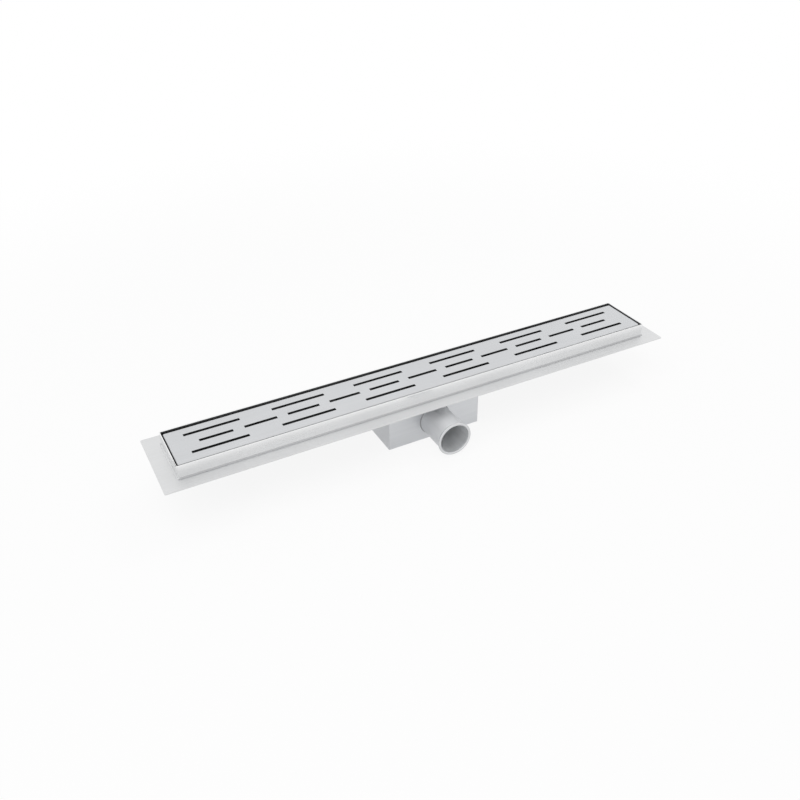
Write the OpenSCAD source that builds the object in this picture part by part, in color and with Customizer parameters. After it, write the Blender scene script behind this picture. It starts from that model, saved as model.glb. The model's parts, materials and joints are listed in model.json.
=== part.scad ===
// Linear shower drain: a long channel with a tile flange round it, a box sump with a side
// outlet, a slotted grate on rubber feet and a lift-out cup trap.
// The origin is the middle of the sump's underside. X runs along the channel, -Y is the
// side of the outlet, and Z is up.

/* [Channel] */
// Outside length of the channel's upstand
rim_l = 600; // [600:1:700]
// Outside width of the channel's upstand
rim_w = 68; // [68:0.5:80]
// Height of the upstand's lip above the top of the tile flange
rim_h = 16; // [12:0.5:18]
// Depth of the channel from its lip to the underside of its floor
channel_h = 25.5; // [25:0.1:30]
// Thickness of the channel, flange and sump sheet
sheet = 1.2; // [1:0.1:1.4]
// Outer radius of the channel's upright corners
rim_corner_r = 2.2; // [2:0.1:4]
// Outer radius of the fold between the channel's sides and its floor
floor_bend_r = 2.4; // [2:0.1:3]

/* [Tile flange] */
// Length of the tile flange
flange_l = 637; // [620:1:720]
// Width of the tile flange
flange_w = 102; // [90:1:120]
// Radius of the flange's corners
flange_corner_r = 1.5; // [0.5:0.1:6]
// Leg of the smoothed weld where the upstand meets the flange
seam_leg = 1.6; // [1:0.1:2.5]

/* [Sump] */
// Length of the sump box
sump_l = 119; // [100:1:160]
// Width of the sump box
sump_w = 60; // [60:0.5:64]
// Height of the sump box, up to the channel's floor
sump_h = 46; // [46:0.5:60]
// Outer radius of the sump's long bottom folds
sump_bend_r = 3; // [2:0.1:4]
// Outer radius of the sump's upright corners
sump_corner_r = 1.6; // [1.5:0.1:3]

/* [Outlet] */
// Outer radius of the outlet pipe
pipe_r = 19; // [18:0.1:19.5]
// Wall of the outlet pipe
pipe_wall = 1.5; // [1:0.1:2]
// Length of the outlet pipe from the sump to its end
pipe_l = 46.5; // [35:0.5:80]
// Height of the pipe's axis above the sump's underside
pipe_z = 25.5; // [23:0.1:26]
// Section radius of the rolled bead at the pipe's end
bead_r = 1.7; // [1.2:0.1:2]
// Leg of the weld between the pipe and the sump
pipe_seam_leg = 1; // [0.5:0.1:1]
// How much the hole in the sump clears the pipe's bore, all round
outlet_clear = 0.5; // [0.2:0.1:0.8]

/* [Grate] */
// Length of the grate
grate_l = 595.6; // [590:0.1:596]
// Width of the grate
grate_w = 60; // [58:0.1:62]
// How far the grate's top lies below the channel's lip
grate_recess = 1; // [0:0.1:2]
// Thickness of the grate's sheet
grate_t = 1.5; // [1.2:0.1:2]
// Height of the grate from its top to the edge of its folded skirt
grate_h = 18; // [16:0.1:19]
// Outer radius of the folds round the grate's top
grate_bend_r = 2.1; // [1.8:0.1:2.5]
// Radius of the grate's upright corners
grate_corner_r = 2.1; // [1.8:0.1:4]

/* [Slots] */
// Number of slot groups along the grate, an even number
group_count = 6; // [4:2:6]
// Distance from one slot group to the next
group_pitch = 99; // [90:0.5:99]
// Width of every slot
slot_w = 4; // [3:0.1:6]
// Length of the slots in the two outer rows
outer_slot_l = 62; // [50:0.5:70]
// Length of the slots in the middle row
middle_slot_l = 37; // [20:0.5:38]
// Distance of the outer rows from the middle one
row_pitch = 16.5; // [12:0.1:18]

/* [Grate supports] */
// Height of the flat bars that tie the grate's skirts together
tie_h = 10; // [6:0.5:11]
// Thickness of the tie bars
tie_t = 1.5; // [1:0.1:3]
// How far the tie bars start above the skirt's lower edge
tie_rise = 0.5; // [0:0.1:2]
// Length of each rubber foot
foot_l = 20; // [10:1:30]
// How far a rubber foot stands out beyond the skirt
foot_out = 2.2; // [1.5:0.1:2.4]
// How far a rubber foot stands in from the skirt
foot_in = 2.5; // [1.5:0.1:4]
// How far a rubber foot grips up the skirt
foot_grip = 4; // [3:0.1:6]
// Chamfer along a foot's lower edges
foot_chamfer = 1.2; // [1:0.1:1.4]

/* [Trap] */
// Radius of the round seat pressed into the channel's floor
seat_r = 26.6; // [26:0.1:27]
// Depth of that seat
seat_depth = 2.2; // [2:0.1:2.5]
// Radius of the hole that the trap drops through
hole_r = 22.5; // [22:0.1:23]
// Depth of the collar drawn down round the hole, below the seat
collar_l = 4.8; // [4:0.1:6]
// Thickness of the trap's top flange
trap_flange_t = 2; // [1.5:0.1:2]
// Gap all round between the trap and the channel's seat and collar
trap_gap = 0.5; // [0.3:0.1:0.6]
// Wall of the trap's barrel
barrel_wall = 2.4; // [2:0.1:3]
// Length of the barrel below the seat
barrel_l = 8; // [7:0.1:9]
// Thickness of the trap's other walls
trap_wall = 1.5; // [1.2:0.1:2]
// Outer radius of the drop tube
drop_r = 11; // [9:0.1:12]
// Height of the drop tube's lower end above the sump's underside
drop_z = 9; // [8:0.1:12]
// Section radius of the sealing ring
seal_r = 0.9; // [0.8:0.05:1]
// Outer radius of the trap cup
cup_r = 19.5; // [18:0.1:20]
// Height of the cup's underside above the sump's underside
cup_z = 4; // [3:0.1:5]
// Height of the cup's overflow edge above the sump's underside
weir_z = 27; // [20:0.1:29]
// Number of legs that hold the cup
cup_legs = 3; // [3:1:4]
// Height of the ring that joins the legs at their top
cup_ring_h = 1.5; // [1:0.1:3]
// Width of each leg, as an angle
leg_angle = 25; // [15:1:35]

/* [Hair sieve] */
// Thickness of the sieve
sieve_t = 0.8; // [0.6:0.1:1]
// Radius of the sieve
sieve_r = 25.5; // [24:0.1:26]
// Depth of the lip that centres the sieve in the trap
sieve_lip_l = 2.5; // [1.5:0.1:3.5]
// Radius of the sieve's holes
sieve_hole_r = 1.5; // [1:0.1:1.8]
// Radius of the innermost ring of holes
sieve_ring_r = 6.5; // [6:0.1:8]
// Distance from one ring of holes to the next
sieve_ring_step = 4.5; // [4:0.1:4.6]
// Number of holes in the innermost ring
sieve_first_ring = 8; // [4:1:10]
// How many more holes each ring has than the one inside it
sieve_ring_growth = 5; // [3:1:6]
// Radius of the knob that lifts the sieve
knob_r = 6; // [4:0.1:6]
// Height of that knob
knob_h = 6; // [4:0.1:8]

/* [Hidden] */
$fn = 48;
// A little extra length, so that cutters pass right through
over = 1;
// Room above and below the sealing ring in its groove
groove_play = 0.2;
// Number of rings of holes in the sieve
sieve_rings = 3;
// The knob's shape, as shares of its radius: its stem and its flat top
stem_share = 0.4;
crown_share = 0.8;
// And as shares of its height: where the stem ends, and where the cap is widest
neck_share = 0.5;
brim_low_share = 0.65;
brim_high_share = 0.85;

channel_z = sump_h;
floor_z = channel_z + sheet;
lip_z = channel_z + channel_h;
flange_z = lip_z - rim_h - sheet;
flange_top = flange_z + sheet;

grate_top = lip_z - grate_recess;
skirt_z = grate_top - grate_h;
skirt_inner = grate_w / 2 - grate_t;

bore_r = pipe_r - pipe_wall;

seat_z = floor_z - seat_depth;
seat_under = seat_z - sheet;
collar_z = seat_under - collar_l;
trap_top = seat_z + trap_flange_t;
barrel_r = hole_r - trap_gap;
barrel_inner = barrel_r - barrel_wall;
barrel_z = seat_z - barrel_l;
groove_r = hole_r - 2 * seal_r;
groove_h = 2 * (seal_r + groove_play);
seal_z = collar_z + collar_l / 2;
sieve_top = trap_top + sieve_t;

// The ties stand under the plain bands between the groups, clear of the trap
tie_places = [-2, -1, 1, 2];
// The feet stand under the first and last groups and the two middle ones
foot_groups = [0, group_count / 2 - 1, group_count / 2, group_count - 1];

steel = [0.80, 0.81, 0.82];
dark_steel = [0.68, 0.69, 0.70];
rubber = [0.12, 0.12, 0.13];
plastic = [0.86, 0.87, 0.86];

// Where slot group i has its middle, counted from 0
function group_x(i) = (i - (group_count - 1) / 2) * group_pitch;

// A rectangle with rounded corners, centred
module rounded_rect(l, w, r) {
    square([l - 2 * r, w], center = true);
    square([l, w - 2 * r], center = true);
    for (x = [-1, 1], y = [-1, 1])
        translate([x * (l / 2 - r), y * (w / 2 - r)]) circle(r);
}

// The section of a folded trough: open height h, lower corners rounded by r
module trough_section(w, h, r) {
    translate([-w / 2, r]) square([w, h - r]);
    translate([-w / 2 + r, 0]) square([w - 2 * r, h]);
    for (x = [-1, 1]) translate([x * (w / 2 - r), r]) circle(r);
}

// A block with rounded upright corners and rounded lower edges. Ends that are welded in
// keep a square lower edge.
module tub_blank(l, w, h, bend_r, corner_r, folded_ends) {
    intersection() {
        linear_extrude(h) rounded_rect(l, w, corner_r);
        rotate([90, 0, 90]) translate([0, 0, -l]) linear_extrude(2 * l) trough_section(w, h, bend_r);
        if (folded_ends)
            rotate([90, 0, 0]) translate([0, 0, -w]) linear_extrude(2 * w) trough_section(l, h, bend_r);
        else
            translate([-l, -w, 0]) cube([2 * l, 2 * w, h]);
    }
}

// A tub of sheet t, open at the top, standing on z = 0
module tub(l, w, h, t, bend_r, corner_r, folded_ends) {
    difference() {
        tub_blank(l, w, h, bend_r, corner_r, folded_ends);
        translate([0, 0, t])
            tub_blank(l - 2 * t, w - 2 * t, h, bend_r - t, corner_r - t, folded_ends);
    }
}

// The long trough with its upstand, and the pressed seat and collar for the trap
module channel() {
    color(steel)
    difference() {
        union() {
            translate([0, 0, channel_z])
                tub(rim_l, rim_w, channel_h, sheet, floor_bend_r, rim_corner_r, false);
            translate([0, 0, seat_under]) cylinder(r = seat_r + sheet, h = floor_z - seat_under);
            translate([0, 0, collar_z]) cylinder(r = hole_r + sheet, h = floor_z - collar_z);
        }
        translate([0, 0, seat_z]) cylinder(r = seat_r, h = seat_depth + over);
        translate([0, 0, collar_z - over]) cylinder(r = hole_r, h = floor_z - collar_z + over);
    }
}

// The concave section of a smoothed weld in the corner of two faces
module seam_section(leg) {
    difference() {
        square(leg);
        translate([leg, leg]) circle(leg);
    }
}

// The flat flange that the tiles lap onto, with the weld at the foot of the upstand
module tile_flange() {
    straight_l = rim_l / 2 - rim_corner_r;
    straight_w = rim_w / 2 - rim_corner_r;
    color(steel) {
        translate([0, 0, flange_z]) linear_extrude(sheet)
            difference() {
                rounded_rect(flange_l, flange_w, flange_corner_r);
                rounded_rect(rim_l, rim_w, rim_corner_r);
            }
        for (side = [0, 180]) rotate([0, 0, side]) {
            translate([-straight_l, rim_w / 2, flange_top]) rotate([90, 0, 90])
                linear_extrude(2 * straight_l) seam_section(seam_leg);
            translate([rim_l / 2, straight_w, flange_top]) rotate([90, 0, 0])
                linear_extrude(2 * straight_w) seam_section(seam_leg);
            for (m = [0, 1]) mirror([0, m, 0])
                translate([straight_l, straight_w, flange_top])
                    rotate_extrude(angle = 90) translate([rim_corner_r, 0]) seam_section(seam_leg);
        }
    }
}

// The box that gathers the water, open at the top, with the hole for the outlet
module sump() {
    color(dark_steel)
    difference() {
        tub(sump_l, sump_w, sump_h, sheet, sump_bend_r, sump_corner_r, false);
        translate([0, -sump_w / 2 + 2 * sheet, pipe_z])
            rotate([90, 0, 0]) cylinder(r = bore_r + outlet_clear, h = 2 * sheet + over);
    }
}

// The outlet, butted on the sump's face, with its weld and the rolled bead at its end
module outlet_pipe() {
    color(steel)
    translate([0, -sump_w / 2, pipe_z]) rotate([90, 0, 0])
        rotate_extrude() {
            polygon([
                [bore_r, 0],
                [pipe_r + pipe_seam_leg, 0],
                [pipe_r, pipe_seam_leg],
                [pipe_r, pipe_l - bead_r],
                [bore_r, pipe_l - bead_r]
            ]);
            translate([bore_r + bead_r, pipe_l - bead_r]) circle(bead_r);
        }
}

// One slot, cut down through the grate's top
module slot(l) {
    translate([-l / 2, -slot_w / 2, grate_top - 2 * grate_t]) cube([l, slot_w, 3 * grate_t]);
}

// The slotted cover, folded down on all four sides
module grate() {
    color(steel)
    difference() {
        translate([0, 0, grate_top]) mirror([0, 0, 1])
            tub(grate_l, grate_w, grate_h, grate_t, grate_bend_r, grate_corner_r, true);
        for (i = [0 : group_count - 1]) translate([group_x(i), 0, 0]) {
            slot(middle_slot_l);
            for (y = [-1, 1]) translate([0, y * row_pitch, 0]) slot(outer_slot_l);
        }
        for (i = [1 : group_count - 1]) translate([group_x(i) - group_pitch / 2, 0, 0])
            slot(middle_slot_l);
    }
}

// A flat bar welded between the grate's long skirts
module tie(i) {
    color(dark_steel)
    translate([tie_places[i] * group_pitch - tie_t / 2, -skirt_inner, skirt_z + tie_rise])
        cube([tie_t, 2 * skirt_inner, tie_h]);
}

// A rubber foot that clips on the skirt's edge and stands on the channel's floor
module foot(i) {
    foot_low = skirt_z - floor_z;
    inner = skirt_inner - foot_in;
    outer = grate_w / 2 + foot_out;
    side = i < len(foot_groups) ? 0 : 1;
    color(rubber)
    mirror([0, side, 0])
    translate([group_x(foot_groups[i % len(foot_groups)]) - foot_l / 2, 0, floor_z])
        rotate([90, 0, 90]) linear_extrude(foot_l)
            polygon([
                [-inner - foot_chamfer, 0],
                [-inner, foot_chamfer],
                [-inner, foot_low + foot_grip],
                [-skirt_inner, foot_low + foot_grip],
                [-skirt_inner, foot_low],
                [-grate_w / 2, foot_low],
                [-grate_w / 2, foot_low + foot_grip],
                [-outer, foot_low + foot_grip],
                [-outer, foot_chamfer],
                [-outer + foot_chamfer, 0]
            ]);
}

// The trap's flange, barrel and drop tube, moulded in one
module trap_body() {
    color(plastic)
    rotate_extrude()
        polygon([
            [drop_r - trap_wall, drop_z],
            [drop_r, drop_z],
            [drop_r, barrel_z],
            [barrel_r, barrel_z],
            [barrel_r, seal_z - groove_h / 2],
            [groove_r, seal_z - groove_h / 2],
            [groove_r, seal_z + groove_h / 2],
            [barrel_r, seal_z + groove_h / 2],
            [barrel_r, seat_z],
            [seat_r - trap_gap, seat_z],
            [seat_r - trap_gap, trap_top],
            [barrel_inner, trap_top],
            [barrel_inner, barrel_z + trap_wall],
            [drop_r - trap_wall, barrel_z + trap_wall]
        ]);
}

// The ring that seals the trap's barrel in the collar
module trap_seal() {
    color(rubber)
    translate([0, 0, seal_z]) rotate_extrude() translate([hole_r - seal_r, 0]) circle(seal_r);
}

// The cup that keeps the water seal, hung on legs with overflow windows between them
module trap_cup() {
    window_top = barrel_z - cup_ring_h;
    half = (360 / cup_legs - leg_angle) / 2;
    reach = 2 * cup_r;
    color(plastic)
    difference() {
        rotate_extrude()
            polygon([
                [0, cup_z],
                [cup_r, cup_z],
                [cup_r, barrel_z],
                [cup_r - trap_wall, barrel_z],
                [cup_r - trap_wall, cup_z + trap_wall],
                [0, cup_z + trap_wall]
            ]);
        for (i = [0 : cup_legs - 1]) rotate([0, 0, i * 360 / cup_legs])
            translate([0, 0, weir_z]) linear_extrude(window_top - weir_z)
                polygon([
                    [0, 0],
                    [reach * cos(half), -reach * sin(half)],
                    [reach * cos(half), reach * sin(half)]
                ]);
    }
}

// The round hair sieve, with rings of holes and a lip that drops into the trap
module hair_sieve() {
    lip_r = barrel_inner - trap_gap;
    color(steel)
    difference() {
        rotate_extrude()
            polygon([
                [0, trap_top],
                [lip_r - sieve_t, trap_top],
                [lip_r - sieve_t, trap_top - sieve_lip_l],
                [lip_r, trap_top - sieve_lip_l],
                [lip_r, trap_top],
                [sieve_r, trap_top],
                [sieve_r, sieve_top],
                [0, sieve_top]
            ]);
        for (ring = [0 : sieve_rings - 1]) {
            count = sieve_first_ring + ring * sieve_ring_growth;
            for (i = [0 : count - 1]) rotate([0, 0, i * 360 / count])
                translate([sieve_ring_r + ring * sieve_ring_step, 0, trap_top - over])
                    cylinder(r = sieve_hole_r, h = sieve_t + 2 * over);
        }
    }
}

// The small mushroom knob that lifts the sieve
module sieve_knob() {
    color(steel)
    translate([0, 0, sieve_top]) rotate_extrude()
        polygon([
            [0, 0],
            [knob_r * stem_share, 0],
            [knob_r * stem_share, knob_h * neck_share],
            [knob_r, knob_h * brim_low_share],
            [knob_r, knob_h * brim_high_share],
            [knob_r * crown_share, knob_h],
            [0, knob_h]
        ]);
}

channel();
tile_flange();
sump();
outlet_pipe();
grate();
for (i = [0 : len(tie_places) - 1])
    tie(i);
for (i = [0 : 2 * len(foot_groups) - 1])
    foot(i);
trap_body();
trap_seal();
trap_cup();
hair_sieve();
sieve_knob();
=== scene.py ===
import bmesh
import bpy
import json
import math
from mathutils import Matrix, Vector

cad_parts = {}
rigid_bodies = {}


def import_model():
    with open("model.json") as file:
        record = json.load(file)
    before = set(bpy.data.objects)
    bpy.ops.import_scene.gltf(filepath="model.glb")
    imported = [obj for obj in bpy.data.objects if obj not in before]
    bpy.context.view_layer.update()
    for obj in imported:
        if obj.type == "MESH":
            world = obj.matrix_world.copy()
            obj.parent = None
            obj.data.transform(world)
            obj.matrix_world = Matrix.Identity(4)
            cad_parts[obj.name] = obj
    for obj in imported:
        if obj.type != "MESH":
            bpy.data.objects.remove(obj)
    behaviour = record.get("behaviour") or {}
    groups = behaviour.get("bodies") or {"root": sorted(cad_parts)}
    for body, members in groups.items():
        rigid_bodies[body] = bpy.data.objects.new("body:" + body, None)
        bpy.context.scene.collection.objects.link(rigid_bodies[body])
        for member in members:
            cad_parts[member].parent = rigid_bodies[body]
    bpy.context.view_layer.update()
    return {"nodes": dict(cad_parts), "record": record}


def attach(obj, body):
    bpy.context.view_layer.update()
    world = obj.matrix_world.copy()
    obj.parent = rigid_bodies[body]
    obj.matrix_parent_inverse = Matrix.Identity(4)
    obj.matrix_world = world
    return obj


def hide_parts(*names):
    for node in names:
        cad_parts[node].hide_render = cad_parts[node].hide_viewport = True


bpy.ops.object.select_all(action="SELECT")        # Blender's own cube, lamp and camera
bpy.ops.object.delete()
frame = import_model()
print("frame loaded:", len(frame["nodes"]), "CAD nodes")

mm = 0.001        # every size below is in millimetres
near = 0.02       # how close two places are taken as the same
over = 1.0        # extra length of a cutter
steps = 6         # facets round a fold


def only(piece):
    bpy.ops.object.select_all(action="DESELECT")
    piece.select_set(True)
    bpy.context.view_layer.objects.active = piece


def block(name, low, high):
    bpy.ops.object.select_all(action="DESELECT")
    size = [(b - a) * mm for a, b in zip(low, high)]
    middle = [(a + b) / 2 * mm for a, b in zip(low, high)]
    bpy.ops.mesh.primitive_cube_add(size=1, location=middle, scale=size)
    piece = bpy.context.object
    piece.name = name
    bpy.ops.object.transform_apply(location=True, rotation=True, scale=True)
    return piece


def pick(piece, kind, wanted):        # in edit mode, selects what the test says yes to
    bpy.ops.mesh.select_mode(type=kind)
    bpy.ops.mesh.select_all(action="DESELECT")
    mesh = bmesh.from_edit_mesh(piece.data)
    for part in {"VERT": mesh.verts, "EDGE": mesh.edges, "FACE": mesh.faces}[kind]:
        if wanted(part):
            part.select_set(True)
    mesh.select_flush_mode()
    bmesh.update_edit_mesh(piece.data)


def upright(edge):
    a, b = (vert.co / mm for vert in edge.verts)
    return abs(a.x - b.x) < near and abs(a.y - b.y) < near


def level(edge, z):
    return all(abs(vert.co.z / mm - z) < near for vert in edge.verts)


def lengthwise(edge, z):
    a, b = (vert.co / mm for vert in edge.verts)
    return level(edge, z) and abs(a.y - b.y) < near


def centre(face):
    return face.calc_center_median() / mm


def slanted(face):
    return 0.3 < abs(face.normal.z) < 0.9


def steep(face):
    return abs(face.normal.z) < 0.5


def roundEdges(piece, wanted, radius, facets, profile=0.5):
    only(piece)
    bpy.ops.object.mode_set(mode="EDIT")
    pick(piece, "EDGE", wanted)
    bpy.ops.mesh.bevel(offset=radius * mm, segments=facets, profile=profile, affect="EDGES")
    bpy.ops.object.mode_set(mode="OBJECT")


def combine(piece, tool, how):
    only(piece)
    change = piece.modifiers.new("combine", "BOOLEAN")
    change.operation = how
    change.solver = "EXACT"
    change.object = tool
    bpy.ops.object.modifier_apply(modifier=change.name)
    bpy.data.objects.remove(tool, do_unlink=True)
    return piece


def mergePoints(piece):        # those that lie on each other, with the faces that shrink to nothing
    only(piece)
    bpy.ops.object.mode_set(mode="EDIT")
    bpy.ops.mesh.select_all(action="SELECT")
    bpy.ops.mesh.remove_doubles(threshold=near * mm / 10)
    bpy.ops.mesh.normals_make_consistent(inside=False)
    bpy.ops.object.mode_set(mode="OBJECT")


def finishEdges(piece, width, facets=2, sharpest=40):        # deburred edges beside faces that stay flat
    mergePoints(piece)
    bpy.ops.object.shade_smooth()
    soft = piece.modifiers.new("edges", "BEVEL")
    soft.width = width * mm
    soft.segments = facets
    soft.limit_method = "ANGLE"
    soft.angle_limit = math.radians(sharpest)
    soft.use_clamp_overlap = False
    bpy.ops.object.modifier_apply(modifier=soft.name)
    mergePoints(piece)
    flat = piece.modifiers.new("shading", "WEIGHTED_NORMAL")
    flat.weight = 100
    bpy.ops.object.modifier_apply(modifier=flat.name)
    return piece


# A block with rounded upright corners, folded along its long edges on the side that stays closed
def troughBlank(name, length, width, closed, opening, bend, corner):
    low, high = min(closed, opening), max(closed, opening)
    blank = block(name, (-length / 2, -width / 2, low), (length / 2, width / 2, high))
    roundEdges(blank, upright, corner, steps)
    section = block("section", (-length, -width / 2, low), (length, width / 2, high))
    roundEdges(section, lambda edge: lengthwise(edge, closed), bend, steps)
    return combine(blank, section, "INTERSECT")


# A block with every edge of its closed side rounded, upright corners and all
def trayBlank(name, length, width, closed, opening, bend):
    low, high = min(closed, opening), max(closed, opening)
    blank = block(name, (-length / 2, -width / 2, low), (length / 2, width / 2, high))
    roundEdges(blank, lambda edge: upright(edge) or level(edge, closed), bend, steps)
    return blank


channel = {
    "length": 600, "width": 68, "underside": 46, "lip": 71.5, "sheet": 1.2,
    "bend": 2.4, "corner": 2.2,
    "seatRadius": 26.6, "seatTop": 45, "holeRadius": 22.5, "collarLow": 39,
    "edge": 0.45, "turns": 96,
}


def makeChannel():
    v = channel
    sheet, low = v["sheet"], v["underside"]
    trough = troughBlank("channelTrough", v["length"], v["width"], low, v["lip"], v["bend"], v["corner"])
    inside = troughBlank(
        "inside", v["length"] - 2 * sheet, v["width"] - 2 * sheet,
        low + sheet, v["lip"] + over, v["bend"] - sheet, v["corner"] - sheet)
    combine(trough, inside, "DIFFERENCE")
    # a slanted cut leaves a larger ring below than above, and both are drawn down from there
    bpy.ops.object.select_all(action="DESELECT")
    bpy.ops.mesh.primitive_cone_add(
        vertices=v["turns"], radius1=(v["seatRadius"] + sheet + over) * mm,
        radius2=(v["seatRadius"] - over) * mm, depth=(sheet + 2 * over) * mm,
        location=(0, 0, (low + sheet / 2) * mm))
    combine(trough, bpy.context.object, "DIFFERENCE")
    only(trough)
    bpy.ops.object.mode_set(mode="EDIT")
    pick(trough, "FACE", lambda face: slanted(face)
         and centre(face).xy.length < v["seatRadius"] + sheet)
    bpy.ops.mesh.delete(type="FACE")
    drawDown(trough, low + sheet, v["seatRadius"], v["seatTop"], v["holeRadius"], v["collarLow"])
    drawDown(trough, low, v["seatRadius"] + sheet, v["seatTop"] - sheet,
             v["holeRadius"] + sheet, v["collarLow"])
    pick(trough, "EDGE", lambda edge: level(edge, v["collarLow"]))
    bpy.ops.mesh.bridge_edge_loops()
    bpy.ops.object.mode_set(mode="OBJECT")
    return finishEdges(trough, v["edge"])


def drawDown(piece, z, radius, shelf, narrow, end):
    pick(piece, "EDGE", lambda edge: level(edge, z) and edge.is_boundary
         and abs(edge.verts[0].co.xy.length / mm - radius) < 5 * near)
    bpy.ops.mesh.extrude_edges_move(TRANSFORM_OT_translate={"value": (0, 0, (shelf - z) * mm)})
    bpy.ops.mesh.extrude_edges_move()
    share = narrow / radius
    bpy.ops.transform.resize(value=(share, share, 1), center_override=(0, 0, shelf * mm))
    bpy.ops.mesh.extrude_edges_move(TRANSFORM_OT_translate={"value": (0, 0, (end - shelf) * mm)})


flange = {
    "length": 637, "width": 102, "low": 54.3, "high": 55.5, "corner": 1.5,
    "seam": 1.55, "hollow": 0.086, "edge": 0.2,
}


def makeFlange():
    v = flange
    plate = block("tileFlange", (-v["length"] / 2, -v["width"] / 2, v["low"]),
                  (v["length"] / 2, v["width"] / 2, v["high"]))
    roundEdges(plate, upright, v["corner"], steps)
    x = channel["length"] / 2 + v["seam"]
    y = channel["width"] / 2 + v["seam"]
    top = v["high"] + v["seam"]
    mound = block("mound", (-x, -y, v["high"] - v["seam"] / 2), (x, y, top))
    roundEdges(mound, upright, channel["corner"] + v["seam"], steps)
    roundEdges(mound, lambda edge: level(edge, top), v["seam"] - near, steps, v["hollow"])
    combine(plate, mound, "UNION")
    well = block("well", (-channel["length"] / 2, -channel["width"] / 2, v["low"] - over),
                 (channel["length"] / 2, channel["width"] / 2, top + over))
    roundEdges(well, upright, channel["corner"], steps)
    combine(plate, well, "DIFFERENCE")
    return finishEdges(plate, v["edge"])


grate = {
    "length": 595.6, "width": 60, "top": 70.5, "low": 52.5, "sheet": 1.5, "bend": 2.1,
    "groups": 6, "groupPitch": 99, "rowPitch": 16.5, "slotWidth": 4,
    "outerSlot": 62, "middleSlot": 37, "edge": 0.2,
}


def slotCutter(x, y, length):
    half = grate["slotWidth"] / 2
    return block("slot", (x - length / 2, y - half, grate["top"] - 2 * grate["sheet"]),
                 (x + length / 2, y + half, grate["top"] + over))


def makeGrate():
    v = grate
    cover = trayBlank("slottedGrate", v["length"], v["width"], v["top"], v["low"], v["bend"])
    sheet = v["sheet"]
    combine(cover, trayBlank("inside", v["length"] - 2 * sheet, v["width"] - 2 * sheet,
                             v["top"] - sheet, v["low"] - over, v["bend"] - sheet), "DIFFERENCE")
    slots = []
    for group in range(v["groups"]):
        x = (group - (v["groups"] - 1) / 2) * v["groupPitch"]
        slots.append(slotCutter(x, 0, v["middleSlot"]))
        slots += [slotCutter(x, side * v["rowPitch"], v["outerSlot"]) for side in (-1, 1)]
        if group:
            slots.append(slotCutter(x - v["groupPitch"] / 2, 0, v["middleSlot"]))
    only(slots[0])
    for slot in slots:
        slot.select_set(True)
    bpy.ops.object.join()
    combine(cover, bpy.context.object, "DIFFERENCE")
    return finishEdges(cover, v["edge"])


sump = {
    "length": 119, "width": 60, "low": 0, "high": 46, "sheet": 1.2, "bend": 3,
    "corner": 1.6, "holeRadius": 18, "outletZ": 25.5, "edge": 0.25, "turns": 96,
}


def makeSump():
    v = sump
    sheet = v["sheet"]
    box = troughBlank("sumpBox", v["length"], v["width"], v["low"], v["high"], v["bend"], v["corner"])
    combine(box, troughBlank("inside", v["length"] - 2 * sheet, v["width"] - 2 * sheet, v["low"] + sheet,
                             v["high"] + over, v["bend"] - sheet, v["corner"] - sheet), "DIFFERENCE")
    bpy.ops.object.select_all(action="DESELECT")
    bpy.ops.mesh.primitive_cylinder_add(
        vertices=v["turns"], radius=v["holeRadius"] * mm, depth=(4 * sheet) * mm,
        location=(0, -v["width"] / 2 * mm, v["outletZ"] * mm), rotation=(math.pi / 2, 0, 0))
    combine(box, bpy.context.object, "DIFFERENCE")
    return finishEdges(box, v["edge"])


pipe = {
    "radius": 19, "wall": 1.5, "root": -30, "end": -76.5, "height": 25.5,
    "bead": 1.7, "seam": 1, "turns": 128, "seamSteps": 6, "beadSteps": 20, "edge": 0.1, "sharpest": 60,
}


def makePipe():
    v = pipe
    bore = v["radius"] - v["wall"]
    beadY = v["end"] + v["bead"]
    beadRadius = bore + v["bead"]
    stations = []        # radius and place along Y, from the weld round the bead and back up the bore
    for step in range(v["seamSteps"] + 1):
        turn = math.pi / 2 * step / v["seamSteps"]
        stations.append((v["radius"] + v["seam"] * (1 - math.sin(turn)),
                         v["root"] - v["seam"] * (1 - math.cos(turn))))
    first = math.acos((v["radius"] - beadRadius) / v["bead"])
    for step in range(v["beadSteps"] + 1):
        turn = first - (math.pi + first) * step / v["beadSteps"]
        stations.append((beadRadius + v["bead"] * math.cos(turn), beadY + v["bead"] * math.sin(turn)))
    stations.append((bore, v["root"]))
    stations.append(stations[0])
    bpy.ops.object.select_all(action="DESELECT")
    bpy.ops.mesh.primitive_circle_add(
        vertices=v["turns"], radius=stations[0][0] * mm,
        location=(0, v["root"] * mm, v["height"] * mm), rotation=(math.pi / 2, 0, 0))
    tube = bpy.context.object
    tube.name = "outletTube"
    bpy.ops.object.transform_apply(location=True, rotation=True, scale=True)
    bpy.ops.object.mode_set(mode="EDIT")
    bpy.ops.mesh.select_all(action="SELECT")
    for (radiusA, yA), (radiusB, yB) in zip(stations, stations[1:]):
        bpy.ops.mesh.extrude_edges_move(TRANSFORM_OT_translate={"value": (0, (yB - yA) * mm, 0)})
        share = radiusB / radiusA
        bpy.ops.transform.resize(value=(share, 1, share), center_override=(0, yB * mm, v["height"] * mm))
    bpy.ops.object.mode_set(mode="OBJECT")
    return finishEdges(tube, v["edge"], 1, v["sharpest"])


made = {
    "channel": makeChannel(),
    "tile_flange": makeFlange(),
    "grate": makeGrate(),
    "sump": makeSump(),
    "outlet_pipe": makePipe(),
}
print("pieces modelled:", ", ".join(piece.name for piece in made.values()))


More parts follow.
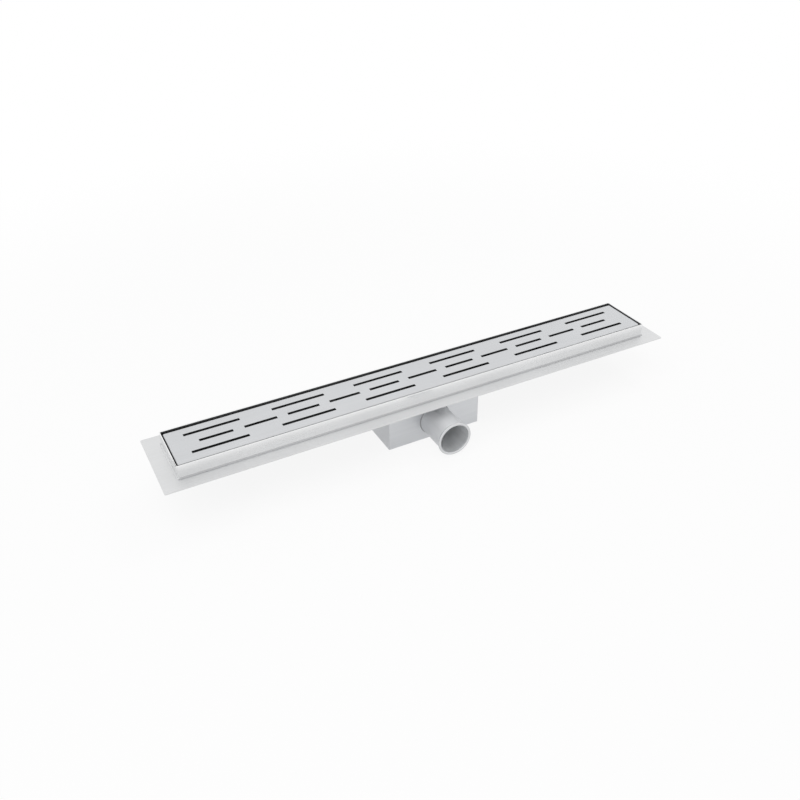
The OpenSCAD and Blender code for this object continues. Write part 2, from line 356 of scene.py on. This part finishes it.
class Wire:        # an output of a shader node that takes part in plain arithmetic
    def __init__(self, recipe, socket):
        self.recipe, self.socket = recipe, socket

    def reckon(self, how, first, second):
        return self.recipe.node("Math", {"operation": how}, {0: first, 1: second})

    def __add__(self, other):
        return self.reckon("ADD", self, other)

    def __sub__(self, other):
        return self.reckon("SUBTRACT", self, other)

    def __rsub__(self, other):
        return self.reckon("SUBTRACT", other, self)

    def __mul__(self, other):
        return self.reckon("MULTIPLY", self, other)

    __radd__ = __add__
    __rmul__ = __mul__


class Recipe:        # one material or world, and the method that adds its nodes
    def __init__(self, owner):
        self.owner = owner
        owner.use_nodes = True
        self.tree = owner.node_tree
        self.tree.nodes.clear()

    def node(self, kind, settings, inputs, output=0):
        added = self.tree.nodes.new("ShaderNode" + kind)
        for name, value in settings.items():
            setattr(added, name, value)
        for key, value in inputs.items():
            if isinstance(value, Wire):
                self.tree.links.new(value.socket, added.inputs[key])
            else:
                added.inputs[key].default_value = value
        return Wire(self, added.outputs[output]) if added.outputs else None

    def noise(self, stretch, detail, roughness):        # spots per metre along each axis of the object
        where = self.node("TexCoord", {}, {}, "Object")
        place = self.node("Mapping", {}, {"Vector": where, "Scale": stretch})
        return self.node("TexNoise", {}, {
            "Vector": place, "Scale": 1, "Detail": detail, "Roughness": roughness})

    def swing(self, pattern, width):        # a pattern between 0 and 1 made to swing about 0
        return (pattern - 0.5) * width

    def blend(self, share, first, second):        # two colours
        return self.node("Mix", {"data_type": "RGBA"}, {0: share, 6: (*first, 1), 7: (*second, 1)}, 2)

    def clamp(self, value, low, high):
        return self.node("Clamp", {}, {"Value": value, "Min": low, "Max": high})

    def surface(self, shader):
        self.node("OutputMaterial", {}, {"Surface": shader})
        return self.owner


steels = {        # the two tones, roughness, how far brushing changes it, bump, and the grain's stretch
    "channel": {"dark": (0.88, 0.883, 0.886), "pale": (0.95, 0.952, 0.954), "rough": 0.26, "brushing": 0.10,
                "bump": 0.05, "grain": (5, 900, 900)},
    "flange": {"dark": (0.70, 0.705, 0.71), "pale": (0.78, 0.785, 0.79), "rough": 0.36, "brushing": 0.12,
               "bump": 0.05, "grain": (5, 700, 700)},
    "grate": {"dark": (0.61, 0.62, 0.634), "pale": (0.69, 0.70, 0.714), "rough": 0.38, "brushing": 0.14,
              "bump": 0.08, "grain": (4, 1100, 1100)},
    "sump": {"dark": (0.66, 0.672, 0.69), "pale": (0.74, 0.752, 0.77), "rough": 0.45, "brushing": 0.08,
             "bump": 0.04, "grain": (12, 400, 400)},
    "pipe": {"dark": (0.69, 0.70, 0.716), "pale": (0.77, 0.78, 0.796), "rough": 0.55, "brushing": 0.10,
             "bump": 0.04, "metal": 0.6, "grain": (500, 10, 500)},
    "bead": {"dark": (0.62, 0.63, 0.64), "pale": (0.72, 0.73, 0.74), "rough": 0.22, "brushing": 0.08,
             "bump": 0.03, "grain": (300, 300, 300)},
    "bore": {"dark": (0.70, 0.71, 0.72), "pale": (0.82, 0.83, 0.84), "rough": 0.75, "brushing": 0.10,
             "bump": 0.05, "metal": 0.7, "grain": (300, 20, 300)},
    # painted shade: the trough's inside is the channel's own steel, painted dark for the shade that falls in
    # it
    "inside": {"dark": (0.16, 0.162, 0.165), "pale": (0.24, 0.242, 0.245), "rough": 0.5, "brushing": 0.10,
               "bump": 0.05, "grain": (20, 300, 300)},
    # painted shade: the grate's slot walls are its own steel, painted near black for the shade inside the
    # slots
    "shadedCutEdge": {"dark": (0.07, 0.07, 0.075), "pale": (0.13, 0.13, 0.135), "rough": 0.6, "brushing": 0.20,
                "bump": 0.2, "grain": (2500, 2500, 150)},
    # painted shade: the weld seam's ground grain and bump are real, its darker tone is painted shade along
    # the fold
    "shadedSeam": {"dark": (0.49, 0.495, 0.505), "pale": (0.59, 0.595, 0.605), "rough": 0.5, "brushing": 0.20,
                   "bump": 0.15, "grain": (700, 700, 700)},
    "weld": {"dark": (0.24, 0.24, 0.25), "pale": (0.42, 0.42, 0.43), "rough": 0.4, "brushing": 0.20,
             "bump": 0.2, "grain": (900, 900, 900)},
    # painted shade: the parts inside the drain, seen only through the slots, are steel painted dark for the
    # shade they stand in
    "inner": {"dark": (0.16, 0.162, 0.165), "pale": (0.24, 0.242, 0.245), "rough": 0.45, "brushing": 0.10,
              "bump": 0.04, "grain": (300, 300, 60)},
}

mottle = {        # what all the steels share: slow clouds, smears from handling, and how far they show
    "clouds": (14, 22, 22), "smears": (55, 90, 90),
    "grainTone": 1.2, "cloudTone": 1.4, "cloudRough": 0.12, "smearRough": 0.06,
    "bumpHeight": 0.0003, "smoothest": 0.08, "roughest": 0.8,
}


def steel(name):
    v, m = steels[name], mottle
    recipe = Recipe(bpy.data.materials.new(name + "Steel"))
    grain = recipe.noise(v["grain"], detail=4, roughness=0.65)
    clouds = recipe.noise(m["clouds"], detail=3, roughness=0.5)
    smears = recipe.noise(m["smears"], detail=2, roughness=0.6)
    tone = recipe.swing(grain, m["grainTone"]) + recipe.swing(clouds, m["cloudTone"]) + 0.5
    rough = (recipe.swing(grain, v["brushing"]) + recipe.swing(clouds, m["cloudRough"])
             + recipe.swing(smears, m["smearRough"]) + v["rough"])
    bump = recipe.node("Bump", {}, {"Strength": v["bump"], "Distance": m["bumpHeight"], "Height": grain})
    return recipe.surface(recipe.node("BsdfPrincipled", {}, {
        "Base Color": recipe.blend(recipe.clamp(tone, 0, 1), v["dark"], v["pale"]),
        "Metallic": v.get("metal", 1.0), "Normal": bump,
        "Roughness": recipe.clamp(rough, m["smoothest"], m["roughest"])}))


mouldings = {        # the two tones of a moulding, how its flow and its grain show, and the roughness
    "rubber": {"dark": (0.018, 0.018, 0.019), "pale": (0.045, 0.045, 0.047), "flow": (120, 120, 120),
               "grain": (1800, 1800, 1800), "rough": 0.72, "spread": 0.3, "bump": 0.25},
    "trapPlastic": {"dark": (0.76, 0.77, 0.75), "pale": (0.84, 0.845, 0.825), "flow": (90, 90, 30),
                    "grain": (1500, 1500, 1500), "rough": 0.38, "spread": 0.2, "bump": 0.12},
}


def moulded(name):
    v = mouldings[name]
    recipe = Recipe(bpy.data.materials.new(name))
    flow = recipe.noise(v["flow"], detail=3, roughness=0.5)
    grain = recipe.noise(v["grain"], detail=2, roughness=0.5)
    bump = recipe.node("Bump", {}, {"Strength": v["bump"], "Distance": mottle["bumpHeight"], "Height": grain})
    rough = recipe.swing(flow, v["spread"]) + recipe.swing(grain, v["spread"]) + v["rough"]
    return recipe.surface(recipe.node("BsdfPrincipled", {}, {
        "Base Color": recipe.blend(flow, v["dark"], v["pale"]),
        "Roughness": recipe.clamp(rough, 0, 1), "Normal": bump}))


finishes = {name: steel(name) for name in steels}
finishes.update({name: moulded(name) for name in mouldings})
slotFinish = {
    "channel_steel": "channel", "flange_steel": "flange", "grate_steel": "grate", "sump_steel": "sump",
    # inner_steel parts take the dark painted shade
    "pipe_steel": "pipe", "inner_steel": "inner", "rubber": "rubber", "trap_plastic": "trapPlastic",
}
for part in frame["record"]["subparts"]:
    node, slot = part["node"], part["material_slot"]
    piece = made.get(node, frame["nodes"][node])
    piece.data.materials.clear()
    piece.data.materials.append(finishes[slotFinish[slot]])
    if node in made:
        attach(piece, "root")
        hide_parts(node)


# used for real finishes and for painted shade alike
def paint(piece, finish, wanted):        # gives some faces of a piece another finish
    piece.data.materials.append(finishes[finish])
    piece.active_material_index = len(piece.data.materials) - 1
    only(piece)
    bpy.ops.object.mode_set(mode="EDIT")
    pick(piece, "FACE", wanted)
    bpy.ops.object.material_slot_assign()
    bpy.ops.object.mode_set(mode="OBJECT")


# faces inside the channel trough, which take the painted shade
def inShadedTrough(face):
    x, y, z = centre(face)
    sheet = channel["sheet"] - near
    return (abs(x) < channel["length"] / 2 - sheet and abs(y) < channel["width"] / 2 - sheet
            and z < channel["lip"] - channel["edge"])


# the upright walls of the grate's slots, which take the painted shade
def inShadedSlot(face):
    x, y, z = centre(face)
    return (abs(x) < grate["length"] / 2 - grate["bend"] and abs(y) < grate["rowPitch"] + grate["slotWidth"]
            and z > grate["top"] - grate["sheet"] - near and steep(face))


# seam faces along the long sides only, where the painted shade goes
def onShadedLongSeam(face):
    x, y, z = centre(face)
    return z > flange["high"] + near and abs(y) > channel["width"] / 2 - near


def inBore(face):
    x, y, z = centre(face)
    return math.hypot(x, z - pipe["height"]) < pipe["radius"] - pipe["wall"] + near


# painted shade on the trough's inside
paint(made["channel"], "inside", inShadedTrough)
# painted shade on the slot walls
paint(made["grate"], "shadedCutEdge", inShadedSlot)
# painted shade along the long seams
paint(made["tile_flange"], "shadedSeam", onShadedLongSeam)
paint(made["outlet_pipe"], "weld", lambda face: centre(face).y > pipe["root"] - pipe["seam"])
paint(made["outlet_pipe"], "bead", lambda face: centre(face).y < pipe["end"] + 2 * pipe["bead"])
paint(made["outlet_pipe"], "bore", inBore)
print("finishes:", ", ".join(finishes))


studio = {        # floor's half side in metres, its tone, and the light and the white of the surroundings
    "floor": 8, "floorTone": 0.90, "skyLight": 0.6,
    "glowSeen": 0.88, "glowMirrored": 0.56,        # how white the floor is near the drain, seen and mirrored
    "glowFrom": 0.45, "glowTo": 1.2,              # metres between which it turns plain white
    "lens": 38.237, "sensor": 36,
    "camera": (-403.35, -731.06, 598.42), "turn": (55.948, 0.900, -27.670),
}
white = (1, 1, 1, 1)


def ray(recipe, *kinds):        # 1 for the rays of these kinds
    return recipe.clamp(sum(recipe.node("LightPath", {}, {}, "Is " + kind + " Ray") for kind in kinds), 0, 1)


def makeFloor():
    bpy.ops.object.select_all(action="DESELECT")
    bpy.ops.mesh.primitive_plane_add(size=2 * studio["floor"], location=(0, 0, 0))
    floor = bpy.context.object
    floor.name = "studioFloor"
    recipe = Recipe(bpy.data.materials.new("studioFloor"))
    tone = studio["floorTone"]
    paper = recipe.node("BsdfDiffuse", {}, {"Color": (tone, tone, tone, 1)})
    glow = recipe.node("Emission", {}, {"Color": white, "Strength": 1})
    distance = recipe.node("VectorMath", {"operation": "LENGTH"},
                           {0: recipe.node("TexCoord", {}, {}, "Object")}, "Value")
    close = 1 - recipe.node("MapRange", {"interpolation_type": "SMOOTHSTEP"}, {
        "Value": distance, "From Min": studio["glowFrom"], "From Max": studio["glowTo"]})
    seen = ray(recipe, "Camera") * (1 - close * (1 - studio["glowSeen"]))
    mirrored = ray(recipe, "Glossy", "Transmission") * (1 - close * (1 - studio["glowMirrored"]))
    floor.data.materials.append(recipe.surface(recipe.node("MixShader", {}, {
        0: recipe.clamp(seen + mirrored, 0, 1), 1: paper, 2: glow})))


def makeWorld():
    world = bpy.data.worlds.new("studio")
    bpy.context.scene.world = world
    recipe = Recipe(world)
    light = recipe.node("Background", {}, {"Color": white, "Strength": studio["skyLight"]})
    seen = recipe.node("Background", {}, {"Color": white, "Strength": 1})
    mixed = recipe.node("MixShader", {}, {
        0: ray(recipe, "Camera", "Glossy", "Transmission"), 1: light, 2: seen})
    recipe.node("OutputWorld", {}, {"Surface": mixed})


lamps = {        # place, size, power and the point it faces
    "softTop": {"at": (-900, -700, 1800), "size": 2500, "power": 20, "towards": (0, 0, 60)},
    "rightHigh": {"at": (1030, 300, 1280), "size": 500, "power": 3, "towards": (150, 0, 60)},
}


def makeLamps():
    for name, v in lamps.items():
        light = bpy.data.lights.new(name, "AREA")
        light.shape = "SQUARE"
        light.size = v["size"] * mm
        light.energy = v["power"]
        lamp = bpy.data.objects.new(name, light)
        bpy.context.scene.collection.objects.link(lamp)
        lamp.location = [c * mm for c in v["at"]]
        aim = Vector(v["towards"]) - Vector(v["at"])
        lamp.rotation_euler = aim.to_track_quat("-Z", "Y").to_euler()
        lamp.visible_glossy = False        # the steel mirrors its white surroundings alone


def makeCamera():
    camera = bpy.data.objects.new("camera", bpy.data.cameras.new("camera"))
    bpy.context.scene.collection.objects.link(camera)
    camera.data.lens = studio["lens"]
    camera.data.sensor_width = studio["sensor"]
    camera.data.clip_start = 10 * mm
    camera.location = [c * mm for c in studio["camera"]]
    camera.rotation_euler = [math.radians(c) for c in studio["turn"]]
    bpy.context.scene.camera = camera


makeFloor()
makeWorld()
makeLamps()
makeCamera()
bpy.context.scene.view_settings.view_transform = "Standard"
print("studio ready")
